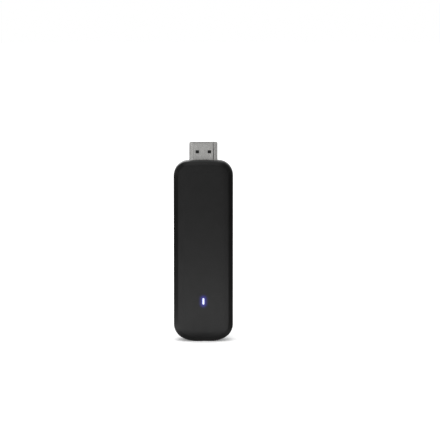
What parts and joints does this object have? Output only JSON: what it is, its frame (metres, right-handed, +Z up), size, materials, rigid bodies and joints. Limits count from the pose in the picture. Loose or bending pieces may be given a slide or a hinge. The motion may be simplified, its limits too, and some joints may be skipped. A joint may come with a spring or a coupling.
{
  "type": "media streaming stick",
  "caption": "Slim rounded media streaming stick with a type A video plug on its end, a small status light, a power port and a recessed reset button on one side.",
  "frame": {"origin": "middle of the base that the stick stands on, at the end away from the plug", "axes": "+Z up along the case towards the plug, +X across the width towards the side with the power port and the button, +Y from the front face with the light towards the rear face"},
  "size_m": [0.0294, 0.013, 0.0985],
  "materials": {
    "case_plastic": "finely textured satin black",
    "button_plastic": "satin black",
    "light_pipe_plastic": "clear diffusing, lit from behind",
    "status_light": "clear lens on a white base",
    "plug_metal": "nickel-plated, satin",
    "port_metal": "nickel-plated, satin",
    "connector_plastic": "moulded black, satin",
    "contact_gold": "gold-plated, polished",
    "circuit_board": "green solder mask",
    "chip_package": "moulded black, fine matt",
    "inductor_core": "pressed grey ferrite",
    "crystal_can": "satin",
    "capacitor_ceramic": "fired tan ceramic",
    "resistor_film": "glazed black",
    "antenna_metal": "stamped, satin",
    "shield_metal": "tin-plated, satin",
    "heat_spreader_metal": "as rolled",
    "thermal_pad": "soft, matt",
    "switch_plastic": "moulded black",
    "spring_metal": "stamped, satin"
  },
  "bodies": {
    "stick": {"flash_memory": "chip_package", "flash_pad": "thermal_pad", "front_capacitors": "capacitor_ceramic", "front_cover": "case_plastic", "front_gap_pad": "thermal_pad", "front_heat_spreader": "heat_spreader_metal", "front_shield_frame": "shield_metal", "front_shield_lid": "shield_metal", "input_capacitors": "capacitor_ceramic", "input_converter_chip": "chip_package", "input_inductor": "inductor_core", "left_antenna": "antenna_metal", "light_pipe": "light_pipe_plastic", "light_resistors": "resistor_film", "main_circuit_board": "circuit_board", "main_crystal": "crystal_can", "memory_chips": "chip_package", "memory_pads": "thermal_pad", "power_inductors": "inductor_core", "power_management_chip": "chip_package", "power_port_contacts": "contact_gold", "power_port_shell": "port_metal", "power_port_tongue": "connector_plastic", "processor": "chip_package", "processor_pad": "thermal_pad", "radio_crystal": "crystal_can", "radio_front_ends": "chip_package", "rear_capacitors": "capacitor_ceramic", "rear_cover": "case_plastic", "rear_gap_pad": "thermal_pad", "rear_heat_spreader": "heat_spreader_metal", "rear_shield_frame": "shield_metal", "rear_shield_lid": "shield_metal", "right_antenna": "antenna_metal", "status_light": "status_light", "surge_protection_chips": "chip_package", "switch_body": "switch_plastic", "switch_frame": "spring_metal", "video_plug_front_contacts": "contact_gold", "video_plug_insulator": "connector_plastic", "video_plug_rear_contacts": "contact_gold", "video_plug_shell": "plug_metal", "wireless_chip": "chip_package", "wireless_pad": "thermal_pad"},
    "reset_button": {"reset_button": "button_plastic", "switch_plunger": "switch_plastic"}
  },
  "joints": [
    {"name": "reset_button_press", "type": "slide", "parent": "stick", "child": "reset_button", "axis": [-1, 0, 0], "range_m": [0, 0.00025], "stiffness_N_per_m": 4000}
  ]
}
